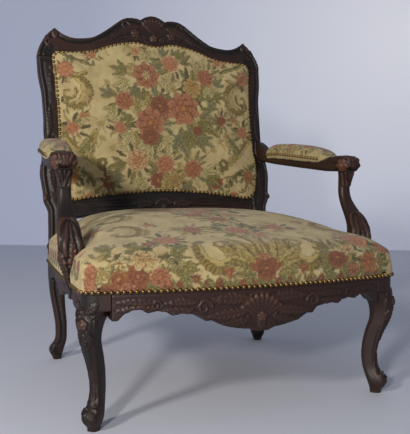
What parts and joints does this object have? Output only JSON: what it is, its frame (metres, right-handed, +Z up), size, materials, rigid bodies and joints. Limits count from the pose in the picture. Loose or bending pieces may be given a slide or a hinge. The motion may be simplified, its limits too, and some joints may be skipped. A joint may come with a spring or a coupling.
{
  "type": "upholstered open armchair",
  "caption": "Open armchair with a carved dark wood frame, curved legs, padded arms and a tapestry seat and back edged with brass nails.",
  "frame": {"origin": "on the floor under the middle of the chair", "axes": "+X to the right seen from the front, +Y to the back, +Z up; the front faces -Y"},
  "size_m": [0.8012, 0.8145, 1.0226],
  "materials": {
    "walnut": "dark polished walnut, carved",
    "beech": "bare planed beech",
    "steel": "plain steel",
    "tapestry": "woven tapestry with roses, leaves and scrolls",
    "horsehair": "curled hair stuffing",
    "hessian": "coarse jute cloth",
    "webbing": "woven jute straps",
    "plain_cloth": "plain woven cloth",
    "brass_nails": "antiqued brass"
  },
  "bodies": {
    "root": {"right_front_leg": "walnut", "left_front_leg": "walnut", "right_rear_post": "walnut", "left_rear_post": "walnut", "right_armrest": "walnut", "left_armrest": "walnut", "right_arm_support": "walnut", "left_arm_support": "walnut", "front_seat_rail": "walnut", "crest_rail": "walnut", "lower_back_rail": "walnut", "right_seat_rail": "walnut", "left_seat_rail": "walnut", "rear_seat_rail": "beech", "front_right_corner_block": "beech", "front_left_corner_block": "beech", "rear_right_corner_block": "beech", "rear_left_corner_block": "beech", "joint_pegs": "beech", "support_screws": "steel", "seat_cover": "tapestry", "back_cover": "tapestry", "right_arm_pad_cover": "tapestry", "left_arm_pad_cover": "tapestry", "seat_stuffing": "horsehair", "back_stuffing": "horsehair", "right_arm_pad_stuffing": "horsehair", "left_arm_pad_stuffing": "horsehair", "seat_hessian": "hessian", "back_hessian": "hessian", "seat_straps_lengthwise": "webbing", "seat_straps_crosswise": "webbing", "back_straps_upright": "webbing", "back_straps_across": "webbing", "outside_back_panel": "plain_cloth", "seat_nails": "brass_nails", "back_nails": "brass_nails", "outside_back_nails": "brass_nails", "right_arm_pad_nails": "brass_nails", "left_arm_pad_nails": "brass_nails"}
  },
  "joints": []
}
